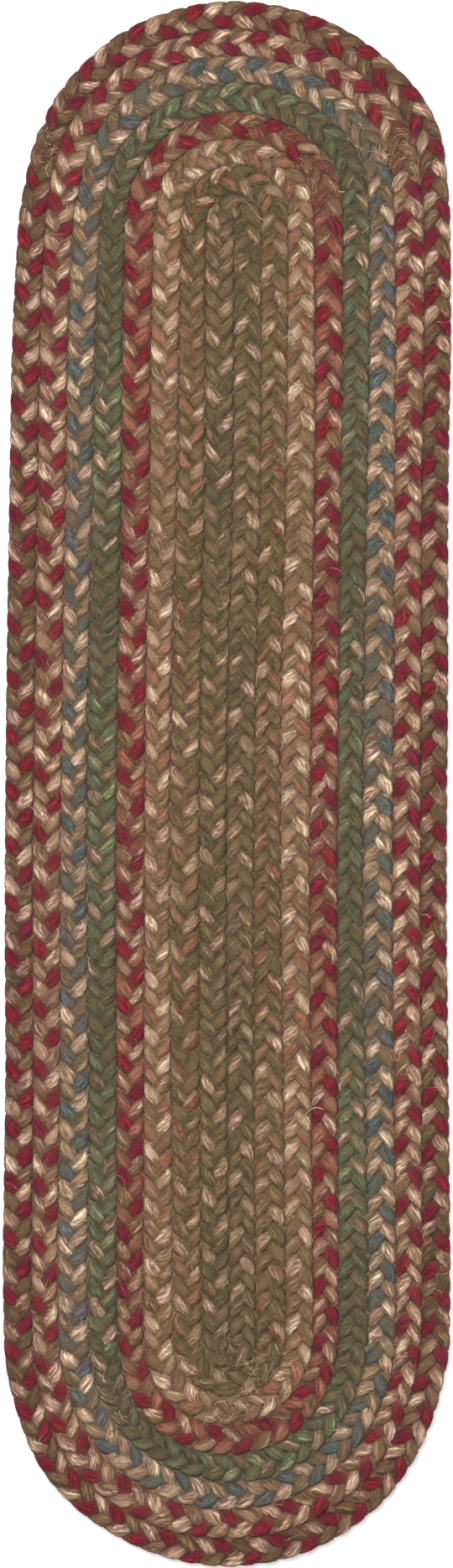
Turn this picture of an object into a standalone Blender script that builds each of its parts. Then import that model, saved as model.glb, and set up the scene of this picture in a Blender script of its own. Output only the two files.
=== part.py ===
"""Oval braided rug: eight closed rings of three-strand wool braid, laced side by side.

The innermost ring is drawn out long and flat, and each further ring runs round the one before
it, with its two ends butted together. Every row stands up as a rib on both faces. The origin
is the middle of the underside, +Y runs to the upper end and +Z is up.
"""
import math

import bmesh
import bpy
from mathutils import Vector

MM = 0.001

# Driving dimensions, in metres.
THICKNESS = 9.0 * MM
SEAM_DEPTH = 2.6 * MM
VALLEY_DEPTH = 0.7 * MM
UPPER_END_Y = 256.0 * MM
LOWER_END_Y = -253.0 * MM
HEIGHT_UNEVENNESS = 0.3 * MM
HEIGHT_WAVE_LENGTH = 95.0 * MM
HEIGHT_WAVE_LEAN = 60.0

# How the rings are laid.
RINGS = 8
SIDE_STEPS = 10
ARC_STEPS = 18

# Where the outermost ring's ends are butted, as a direction on the upper end: the braid is
# drawn in there by a share of its width, over a few degrees on either side.
BUTT_ANGLE = 27.0
BUTT_HALF_ANGLE = 3.0
BUTT_DRAWN_IN = 0.1

# How the seams wander, as waves: how many there are in a ring, how far each is shifted from
# one ring to the next, in radians, and how far it swings, in rows.
WANDER_WAVES = (
    # waves a ring, shift a row, swing
    (3.0, 1.9, 0.035),
    (7.0, -2.3, 0.021),
)

# Straight rows: height along the rug, middle seam to the right of the origin,
# and the width of one row on the left and on the right, all in millimetres.
SIDES = (
    # y, seam x, left row, right row
    (256.0, 3.2, 12.2, 12.26),
    (204.0, 3.2, 12.57, 12.3),
    (135.0, 2.9, 12.7, 12.2),
    (44.0, 0.4, 12.55, 12.5),
    (-47.0, -0.2, 12.57, 12.5),
    (-139.0, 0.2, 12.6, 12.57),
    (-215.0, 1.1, 12.86, 12.55),
    (-253.0, 1.3, 12.82, 12.5),
)

# Round ends: direction from the end of the middle seam, 0 on the left at the upper end and on
# the right at the lower one, and the width of one row that way in millimetres.
ENDS = (
    # angle, row at the upper end, row at the lower end
    (0.0, 12.2, 12.5),
    (10.0, 12.01, 12.35),
    (20.0, 12.13, 12.32),
    (30.0, 12.23, 12.39),
    (45.0, 12.3, 12.58),
    (60.0, 12.39, 12.7),
    (90.0, 12.41, 12.79),
    (120.0, 12.5, 12.81),
    (140.0, 12.7, 12.95),
    (150.0, 12.83, 12.89),
    (160.0, 12.64, 12.74),
    (170.0, 12.3, 12.74),
    (180.0, 12.26, 12.82),
)

# Section of one row: place across it from the inner seam to the outer one, and how far the
# surface stands out of the seam there, as a share of the seam's depth.
UPPER_SECTION = (
    # across, height
    (0.0, 0.0),
    (0.09, 0.62),
    (0.25, 1.0),
    (0.5, 1.0 - VALLEY_DEPTH / SEAM_DEPTH),
    (0.75, 1.0),
    (0.91, 0.62),
    (1.0, 0.0),
)
LOWER_SECTION = (
    # across, height
    (0.0, 0.0),
    (0.08, 0.6),
    (0.19, 1.0),
    (0.81, 1.0),
    (0.92, 0.6),
    (1.0, 0.0),
)

OBJECT_NAME = "braided_rug"
WOOL_COLOUR = (0.16, 0.09, 0.05, 1.0)
WOOL_ROUGHNESS = 0.95
MERGE_DISTANCE = 0.01 * MM


def clear_scene():
    """Empty the scene of whatever it holds."""
    for obj in list(bpy.data.objects):
        bpy.data.objects.remove(obj, do_unlink=True)


def read_between(table, column, place):
    """The column's value at a place along the table, on a smooth curve through its rows."""
    places = [row[0] for row in table]
    values = [row[column] for row in table]
    if places[0] > places[-1]:
        places = [-value for value in places]
        place = -place
    last = len(places) - 2
    index = max(i for i in range(last + 1) if i == 0 or places[i] <= place)
    slopes = []
    for i in (index, index + 1):
        before = max(i - 1, 0)
        after = min(i + 1, last + 1)
        slopes.append((values[after] - values[before]) / (places[after] - places[before]))
    span = places[index + 1] - places[index]
    t = (place - places[index]) / span
    start = values[index] * (1.0 + 2.0 * t) * (1.0 - t) ** 2
    end = values[index + 1] * (3.0 - 2.0 * t) * t ** 2
    lean = span * (slopes[0] * t * (1.0 - t) ** 2 - slopes[1] * (1.0 - t) * t ** 2)
    return start + end + lean


def side_station(y, row_column, sign):
    """A cut across the straight rows: its point on the middle seam, its outward step of one
    row, and the outermost ring's width in rows."""
    seam = Vector((read_between(SIDES, 1, y / MM) * MM, y))
    step = Vector((sign * read_between(SIDES, row_column, y / MM) * MM, 0.0))
    return seam, step, 1.0


def end_station(angle, row_column, seam_x, end_y, sign, outer_width):
    """The same on a round end, where every ring turns about the end of the middle seam."""
    turn = math.radians(angle)
    row = read_between(ENDS, row_column, angle) * MM
    step = Vector((sign * row * math.cos(turn), -sign * row * math.sin(turn)))
    return Vector((seam_x, end_y)), step, outer_width


def butt_width(angle):
    """The outermost ring's width in rows on the upper end, drawn in where its ends meet."""
    nearness = max(0.0, 1.0 - abs(angle - BUTT_ANGLE) / BUTT_HALF_ANGLE)
    return 1.0 - BUTT_DRAWN_IN * nearness


def stations_round_the_rug():
    """All cuts in order: down the right, round the lower end, up the left, over the top."""
    stations = []
    length = UPPER_END_Y - LOWER_END_Y
    lower_x = SIDES[-1][1] * MM
    upper_x = SIDES[0][1] * MM
    arc_angles = [180.0 * i / ARC_STEPS for i in range(ARC_STEPS)]
    for i in range(SIDE_STEPS):
        stations.append(side_station(UPPER_END_Y - length * i / SIDE_STEPS, 3, 1.0))
    for angle in arc_angles:
        stations.append(end_station(angle, 2, lower_x, LOWER_END_Y, 1.0, 1.0))
    for i in range(SIDE_STEPS):
        stations.append(side_station(LOWER_END_Y + length * i / SIDE_STEPS, 2, -1.0))
    for angle in sorted(arc_angles + [BUTT_ANGLE - BUTT_HALF_ANGLE, BUTT_ANGLE]):
        width = butt_width(angle)
        stations.append(end_station(angle, 1, upper_x, UPPER_END_Y, -1.0, width))
    return stations


def wandered(rows, way):
    """Rows from the middle seam, with the slight wander that hand lacing leaves.

    The middle seam and the rug's edge stay where the tables put them.
    """
    wander = sum(swing * math.sin(waves * way + shift * rows)
                 for waves, shift, swing in WANDER_WAVES)
    return rows + wander * max(0.0, min(1.0, rows, RINGS - rows))


def unevenness(place):
    """How far the upper face sinks below its full height at a place."""
    wave = math.sin(math.tau * place.y / HEIGHT_WAVE_LENGTH + HEIGHT_WAVE_LEAN * place.x)
    return 0.5 * HEIGHT_UNEVENNESS * (1.0 + wave)


def cut_profile(profile, outer_width):
    """One face's section from the middle seam to the rug's edge: rows out, and height."""
    points = [(0.0, 0.0)]
    for ring in range(RINGS):
        width = outer_width if ring == RINGS - 1 else 1.0
        points += [(ring + across * width, height) for across, height in profile[1:]]
    return points


def cut_vertices(mesh, station, way, profile, base, direction):
    """Lay one cut's points out from the middle seam, on the face that the direction names."""
    seam, step, outer_width = station
    line = []
    for rows, height in cut_profile(profile, outer_width):
        place = seam + step * wandered(rows, way)
        stand = SEAM_DEPTH - (unevenness(place) if direction > 0.0 else 0.0)
        line.append(mesh.verts.new((place.x, place.y, base + direction * stand * height)))
    return line


def add_face(mesh, stations, profile, base, direction):
    """Loft one face of the rug through all its cuts. Returns the vertices of its edge."""
    lines = []
    for index, station in enumerate(stations):
        way = math.tau * index / len(stations)
        lines.append(cut_vertices(mesh, station, way, profile, base, direction))
    for before, after in zip(lines, lines[1:] + lines[:1]):
        for i in range(len(before) - 1):
            mesh.faces.new((before[i], before[i + 1], after[i + 1], after[i]))
    return [line[-1] for line in lines]


def add_wall(mesh, upper, lower):
    """Join the two faces round the edge of the rug."""
    for i in range(len(upper)):
        after = (i + 1) % len(upper)
        mesh.faces.new((upper[i], upper[after], lower[after], lower[i]))


def centre_on_origin(mesh):
    """Slide the rug so that the origin is the middle of its length and width."""
    across = [vertex.co.x for vertex in mesh.verts]
    along = [vertex.co.y for vertex in mesh.verts]
    middle = Vector((min(across) + max(across), min(along) + max(along), 0.0)) / 2.0
    bmesh.ops.translate(mesh, verts=mesh.verts, vec=-middle)


def build_rug():
    """Make the rug's one solid: both ribbed faces, and the wall round the outermost ring."""
    stations = stations_round_the_rug()
    mesh = bmesh.new()
    upper = add_face(mesh, stations, UPPER_SECTION, THICKNESS - SEAM_DEPTH, 1.0)
    lower = add_face(mesh, stations, LOWER_SECTION, SEAM_DEPTH, -1.0)
    add_wall(mesh, upper, lower)
    bmesh.ops.remove_doubles(mesh, verts=mesh.verts, dist=MERGE_DISTANCE)
    centre_on_origin(mesh)
    bmesh.ops.recalc_face_normals(mesh, faces=mesh.faces)
    data = bpy.data.meshes.new(OBJECT_NAME)
    mesh.to_mesh(data)
    mesh.free()
    data.shade_smooth()
    return bpy.data.objects.new(OBJECT_NAME, data)


def wool_material():
    """Mixed olive, tan and crimson wool seen from a distance: a dull, warm brown."""
    material = bpy.data.materials.new("braided_wool")
    material.use_nodes = True
    shader = material.node_tree.nodes["Principled BSDF"]
    shader.inputs["Base Color"].default_value = WOOL_COLOUR
    shader.inputs["Roughness"].default_value = WOOL_ROUGHNESS
    shader.inputs["Metallic"].default_value = 0.0
    return material


def main():
    """Build the rug in a collection of its own."""
    clear_scene()
    collection = bpy.data.collections.new("Oval braided rug")
    bpy.context.scene.collection.children.link(collection)
    rug = build_rug()
    rug.data.materials.append(wool_material())
    collection.objects.link(rug)


main()
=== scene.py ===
"""The looks of an oval braided rug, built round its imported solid, in metres with Z up.

Eight closed rings of three-strand braid lie side by side. A strand is a bundle of four dyed
wool yarns. Each ring's two ends are butted and sewn, which leaves one untidy spot in it.
"""
import logging
import math
from dataclasses import dataclass, field
from enum import Enum, IntEnum

import bmesh
import bpy
import numpy as np
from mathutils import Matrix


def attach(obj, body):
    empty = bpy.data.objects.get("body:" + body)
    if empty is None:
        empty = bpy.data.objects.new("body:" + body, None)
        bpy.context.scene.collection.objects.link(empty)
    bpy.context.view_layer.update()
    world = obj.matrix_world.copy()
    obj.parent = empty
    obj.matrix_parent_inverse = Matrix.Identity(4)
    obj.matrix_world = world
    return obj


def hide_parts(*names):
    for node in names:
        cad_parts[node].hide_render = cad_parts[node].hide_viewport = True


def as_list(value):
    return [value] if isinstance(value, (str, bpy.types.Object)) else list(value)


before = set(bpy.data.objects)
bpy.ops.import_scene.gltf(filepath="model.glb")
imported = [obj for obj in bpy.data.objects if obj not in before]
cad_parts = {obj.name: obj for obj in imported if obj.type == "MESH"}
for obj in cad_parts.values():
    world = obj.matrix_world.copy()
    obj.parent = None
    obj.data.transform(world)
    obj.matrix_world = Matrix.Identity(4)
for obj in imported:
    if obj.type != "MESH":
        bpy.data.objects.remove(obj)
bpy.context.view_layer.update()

MM = 0.001
# A whole turn in radians, and half a turn in degrees.
TURN = 2.0 * math.pi
HALF_TURN = 180.0
# Stands in for a spread of nothing where noise is divided by its spread.
LEAST_SPREAD = 1e-9

NODE = "braided_rug"
BODY = "root"

# UV maps: the place on the yarn in millimetres, and strips laid out for baking. Each
# yarn's pattern starts at a place of its own, up to this many millimetres in.
LAY_MAP = "wool_lay"
BAKE_MAP = "OFBake"
LAY_START = 300.0

# What the wool reads at every point: how light it is, by its own tone and by painted light
# and shade, how much the butt dulls it, how much hair lies over it, and the colour of the
# felt round it.
PAINTED_LIGHT_AND_TONE = "shade"
BUTT = "butt"
HAZE = "haze"
FELT = "felt"

logging.basicConfig(level=logging.INFO, format="%(message)s")
LOG = logging.getLogger("rug")


def linear(hex_colour: str) -> tuple[float, float, float, float]:
    """Turn an sRGB hex value into the linear colour that shaders take.

    A share up to 0.04045 is divided by 12.92. A larger one has 0.055 added, is divided by
    1.055 and raised to the power of 2.4.

    Args:
        hex_colour: Six hex digits after a hash.

    Returns:
        Linear red, green and blue, and an alpha of 1.
    """
    shares = [int(hex_colour[i:i + 2], 16) / 255.0 for i in (1, 3, 5)]
    parts = [s / 12.92 if s <= 0.04045 else ((s + 0.055) / 1.055) ** 2.4 for s in shares]
    return parts[0], parts[1], parts[2], 1.0


def add_node(
    tree: bpy.types.NodeTree, kind: str, inputs: dict | None = None, **settings: object
) -> bpy.types.Node:
    """Add one shader node with its settings, values and links.

    Args:
        tree: The node tree it goes into.
        kind: The node's type name.
        inputs: A value or an output socket for each named or numbered input.
        **settings: Properties of the node itself.

    Returns:
        The new node.
    """
    node = tree.nodes.new(kind)
    for name, value in settings.items():
        setattr(node, name, value)
    for key, value in (inputs or {}).items():
        if isinstance(value, bpy.types.NodeSocket):
            tree.links.new(value, node.inputs[key])
        else:
            node.inputs[key].default_value = value
    return node


def bare_material(name: str) -> bpy.types.Material:
    """Make a material whose node tree is still empty.

    Args:
        name: The material's name.

    Returns:
        The material.
    """
    material = bpy.data.materials.new(name)
    material.use_nodes = True
    material.node_tree.nodes.clear()
    return material


def smooth_noise(rng: np.random.Generator, shape: tuple[int, ...], reach: float) -> np.ndarray:
    """Random values that change smoothly along the last axis and close on themselves.

    White noise is multiplied by a bell curve in frequency, which blurs it, and is then scaled
    back to a spread of 1.

    Args:
        rng: The seeded source of the noise.
        shape: Shape of the result; the last axis is the closed one.
        reach: How many places along the last axis the blur takes in.

    Returns:
        The noise, with mean 0 and standard deviation 1 along the last axis.
    """
    count = shape[-1]
    waves = np.fft.rfftfreq(count)
    spectrum = np.fft.rfft(rng.standard_normal(shape), axis=-1)
    spectrum *= np.exp(-2.0 * (math.pi * waves * reach) ** 2)
    spectrum[..., 0] = 0.0
    values = np.fft.irfft(spectrum, n=count, axis=-1)
    return values / np.maximum(values.std(axis=-1, keepdims=True), LEAST_SPREAD)


def curve_through(table: tuple, column: int, places: np.ndarray) -> np.ndarray:
    """Read a table's column at many places, on a smooth curve through its rows.

    Between two rows it is the cubic whose slope at each row is that of the line from the row
    before it to the row after it.

    Args:
        table: Rows of numbers, each starting with its place.
        column: The column to read.
        places: Where to read it.

    Returns:
        The column's value at each place.
    """
    knots = np.array([row[0] for row in table])
    values = np.array([row[column] for row in table])
    order = np.argsort(knots)
    knots, values = knots[order], values[order]
    before = np.maximum(np.arange(len(knots)) - 1, 0)
    after = np.minimum(np.arange(len(knots)) + 1, len(knots) - 1)
    slopes = (values[after] - values[before]) / (knots[after] - knots[before])
    index = np.clip(np.searchsorted(knots, places, side="right") - 1, 0, len(knots) - 2)
    span = knots[index + 1] - knots[index]
    t = (places - knots[index]) / span
    start = values[index] * (1.0 + 2.0 * t) * (1.0 - t) ** 2
    end = values[index + 1] * (3.0 - 2.0 * t) * t ** 2
    lean = span * (slopes[index] * t * (1.0 - t) ** 2 - slopes[index + 1] * (1.0 - t) * t ** 2)
    return start + end + lean


def across_and_up(heading: np.ndarray) -> tuple[np.ndarray, np.ndarray]:
    """Unit vectors square to a line: a level one to its left, and one square to them both.

    Args:
        heading: The line's direction, by line, point and axis.

    Returns:
        The level vectors and the upright ones.
    """
    forward = heading / np.linalg.norm(heading, axis=-1, keepdims=True)
    side = np.stack([-forward[..., 1], forward[..., 0], np.zeros(forward.shape[:2])], axis=-1)
    side /= np.linalg.norm(side, axis=-1, keepdims=True)
    return side, np.cross(forward, side)


def lengthwise(near: np.ndarray, far: np.ndarray) -> np.ndarray:
    """Values for the four corners of faces, by whether they lie at the near or the far end."""
    return np.stack([near, near, far, far], axis=-1)


def crosswise(near: np.ndarray, far: np.ndarray) -> np.ndarray:
    """Values for the same corners in the same order, by which side of the face they lie on."""
    return np.stack([near, far, far, near], axis=-1)


class SideColumn(IntEnum):
    """Columns of the table of the straight sides, after the place along the rug."""

    SEAM = 1
    LEFT_ROW = 2
    RIGHT_ROW = 3


class EndColumn(IntEnum):
    """Columns of the table of the round ends, after the direction."""

    UPPER_ROW = 1
    LOWER_ROW = 2


@dataclass
class RowCourse:
    """The course of the rows: the middle seam, and a row's width to either side of it.

    The tables are those of the solid. Sizes are in millimetres and angles in degrees.
    """

    rings: int = 8
    thickness: float = 9.0
    upper_end: float = 256.0
    lower_end: float = -253.0
    samples_a_leg: int = 720
    side_cuts: int = 10
    arc_cuts: int = 18
    butt_angle: float = 27.0
    butt_half_angle: float = 3.0
    butt_drawn_in: float = 0.1
    # waves a ring, shift a row, swing in rows
    wander_waves: tuple = ((3.0, 1.9, 0.035), (7.0, -2.3, 0.021))
    # y, seam x, left row, right row
    sides: tuple = (
        (256.0, 3.2, 12.2, 12.26),
        (204.0, 3.2, 12.57, 12.3),
        (135.0, 2.9, 12.7, 12.2),
        (44.0, 0.4, 12.55, 12.5),
        (-47.0, -0.2, 12.57, 12.5),
        (-139.0, 0.2, 12.6, 12.57),
        (-215.0, 1.1, 12.86, 12.55),
        (-253.0, 1.3, 12.82, 12.5),
    )
    # angle, row at the upper end, row at the lower end
    ends: tuple = (
        (0.0, 12.2, 12.5),
        (10.0, 12.01, 12.35),
        (20.0, 12.13, 12.32),
        (30.0, 12.23, 12.39),
        (45.0, 12.3, 12.58),
        (60.0, 12.39, 12.7),
        (90.0, 12.41, 12.79),
        (120.0, 12.5, 12.81),
        (140.0, 12.7, 12.95),
        (150.0, 12.83, 12.89),
        (160.0, 12.64, 12.74),
        (170.0, 12.3, 12.74),
        (180.0, 12.26, 12.82),
    )
    seam: np.ndarray = field(init=False)
    step: np.ndarray = field(init=False)
    way: np.ndarray = field(init=False)
    edge_width: np.ndarray = field(init=False)

    def __post_init__(self) -> None:
        """Work out the seam point and the outward step of one row all round the rug.

        The four legs run down the right, round the lower end, up the left and over the upper
        end. The rug is then centred on the origin.
        """
        share = np.arange(self.samples_a_leg) / self.samples_a_leg
        length = self.upper_end - self.lower_end
        down = self.upper_end - length * share
        upward = self.lower_end + length * share
        angles = HALF_TURN * share
        seam_column = SideColumn.SEAM
        lower_x, upper_x = self.sides[-1][seam_column], self.sides[0][seam_column]
        legs = [
            self.side_leg(down, SideColumn.RIGHT_ROW, 1.0),
            self.end_leg(angles, EndColumn.LOWER_ROW, lower_x, self.lower_end, 1.0),
            self.side_leg(upward, SideColumn.LEFT_ROW, -1.0),
            self.end_leg(angles, EndColumn.UPPER_ROW, upper_x, self.upper_end, -1.0),
        ]
        self.seam = np.concatenate([leg[0] for leg in legs])
        self.step = np.concatenate([leg[1] for leg in legs])
        self.way = self.ways(share)
        nearness = np.maximum(0.0, 1.0 - np.abs(angles - self.butt_angle) / self.butt_half_angle)
        plain = np.zeros(3 * self.samples_a_leg)
        self.edge_width = 1.0 - self.butt_drawn_in * np.concatenate([plain, nearness])
        edge = self.seam + self.step * self.rings
        self.seam = self.seam - (edge.min(axis=0) + edge.max(axis=0)) / 2.0

    def ways(self, share: np.ndarray) -> np.ndarray:
        """How far round the rug the samples lie, counted evenly by the solid's cuts.

        Each leg has its own number of cuts, with two more at the butt on the upper end.

        Args:
            share: How far along a leg its samples lie, from 0 to 1.

        Returns:
            The way round at the samples of all four legs, in radians.
        """
        cuts = np.arange(self.arc_cuts) * HALF_TURN / self.arc_cuts
        upper_cuts = np.sort([*cuts, self.butt_angle - self.butt_half_angle, self.butt_angle])
        upper_index = np.interp(
            HALF_TURN * share, [*upper_cuts, HALF_TURN], np.arange(len(upper_cuts) + 1))
        index = np.concatenate([
            self.side_cuts * share,
            self.side_cuts + self.arc_cuts * share,
            self.side_cuts + self.arc_cuts + self.side_cuts * share,
            2 * self.side_cuts + self.arc_cuts + upper_index,
        ])
        return TURN * index / (2 * self.side_cuts + self.arc_cuts + len(upper_cuts))

    def side_leg(
        self, y: np.ndarray, column: SideColumn, sign: float
    ) -> tuple[np.ndarray, np.ndarray]:
        """Seam points and outward steps along one straight side.

        Args:
            y: Heights along the rug.
            column: The column that holds the row's width.
            sign: 1 on the right and -1 on the left.

        Returns:
            The seam points and the steps, each an array of x and y.
        """
        seam = np.stack([curve_through(self.sides, SideColumn.SEAM, y), y], axis=1)
        width = curve_through(self.sides, column, y)
        return seam, np.stack([sign * width, np.zeros_like(y)], axis=1)

    def end_leg(
        self, angles: np.ndarray, column: EndColumn, x: float, y: float, sign: float
    ) -> tuple[np.ndarray, np.ndarray]:
        """Seam points and outward steps round one end, turning about the seam's end.

        Args:
            angles: Directions, in degrees.
            column: The column that holds the row's width.
            x: The seam's end, to the right of the origin.
            y: The seam's end, along the rug.
            sign: 1 at the lower end and -1 at the upper end.

        Returns:
            The seam points and the steps, each an array of x and y.
        """
        turn = np.radians(angles)
        width = curve_through(self.ends, column, angles)
        step = sign * width[:, None] * np.stack([np.cos(turn), -np.sin(turn)], axis=1)
        return np.broadcast_to([x, y], step.shape), step

    def wandered(self, rows: np.ndarray, way: np.ndarray) -> np.ndarray:
        """Rows from the middle seam, with the slight wander that hand lacing leaves.

        Args:
            rows: Rows from the middle seam.
            way: How far round the rug, in radians.

        Returns:
            The rows plus a sum of sine waves, which dies out at the seam and at the edge.
        """
        swing = sum(s * np.sin(w * way + shift * rows) for w, shift, s in self.wander_waves)
        return rows + swing * np.clip(np.minimum(rows, self.rings - rows), 0.0, 1.0)

    def at_rows(self, rows: np.ndarray, index: np.ndarray) -> np.ndarray:
        """Places on the rug's plane, at sampled cuts.

        Args:
            rows: Rows from the middle seam.
            index: The cut's index among the samples, for each of the rows.

        Returns:
            x and y of each place.
        """
        last = self.rings - 1
        inside = np.where(rows > last, last + (rows - last) * self.edge_width[index], rows)
        out = self.wandered(inside, self.way[index])[..., None]
        return self.seam[index] + self.step[index] * out


@dataclass
class RingCourse:
    """One ring's centre line, measured along its length, in millimetres."""

    course: RowCourse
    number: int
    length: float = field(init=False)
    line: np.ndarray = field(init=False)
    knots: np.ndarray = field(init=False)

    def __post_init__(self) -> None:
        """Measure the centre line, which runs half a row out from the ring's inner seam."""
        index = np.arange(len(self.course.seam))
        self.line = self.course.at_rows(np.full(len(index), self.number + 0.5), index)
        steps = np.linalg.norm(np.roll(self.line, -1, axis=0) - self.line, axis=1)
        self.knots = np.concatenate([[0.0], np.cumsum(steps)])
        self.length = float(self.knots[-1])

    def corners(self) -> np.ndarray:
        """Lengths at which the four legs start, and the whole length."""
        return self.knots[:: self.course.samples_a_leg]

    def nearest(self, x: float, y: float) -> float:
        """Length along the ring of the point of its centre line nearest to a place."""
        away = np.hypot(self.line[:, 0] - x, self.line[:, 1] - y)
        return float(self.knots[np.argmin(away)])

    def place(self, along: np.ndarray, out: np.ndarray, up: np.ndarray) -> np.ndarray:
        """Bend points of the straightened braid into the ring.

        A point goes to the seam point of its length along the ring, plus the outward step
        there times its rows from the middle seam, and keeps its height.

        Args:
            along: Length along the ring's centre line.
            out: Distance from it towards the rug's edge.
            up: Height over the middle of the rug's thickness.

        Returns:
            World places in millimetres, with x, y and z in the last axis.
        """
        spot = np.mod(along, self.length)

        def read(values: np.ndarray) -> np.ndarray:
            """The value at each point's place, where the last sample is followed by the first."""
            return np.interp(spot, self.knots, np.concatenate([values, values[:1]]))

        step_x, step_y = read(self.course.step[:, 0]), read(self.course.step[:, 1])
        way = np.interp(spot, self.knots, np.concatenate([self.course.way, [TURN]]))
        rows = np.maximum(self.number + 0.5 + out / np.hypot(step_x, step_y), 0.0)
        if self.number == self.course.rings - 1:
            rows = self.number + (rows - self.number) * read(self.course.edge_width)
        rows = self.course.wandered(rows, way)
        x = read(self.course.seam[:, 0]) + step_x * rows
        y = read(self.course.seam[:, 1]) + step_y * rows
        return np.stack([x, y, up + self.course.thickness / 2.0], axis=-1)


@dataclass(frozen=True)
class Stretch:
    """A range of a pattern's or a height's values, and what its two ends become.

    What lies past an end becomes what the end becomes.
    """

    low: float
    high: float
    to_low: float
    to_high: float

    def inputs(self, value: bpy.types.NodeSocket) -> dict[str, object]:
        """The inputs of a Map Range node that stretches a value.

        Args:
            value: The value to stretch.

        Returns:
            The value and the range's ends, by the names of the node's inputs.
        """
        return {
            "Value": value, "From Min": self.low, "From Max": self.high,
            "To Min": self.to_low, "To Max": self.to_high,
        }


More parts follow.
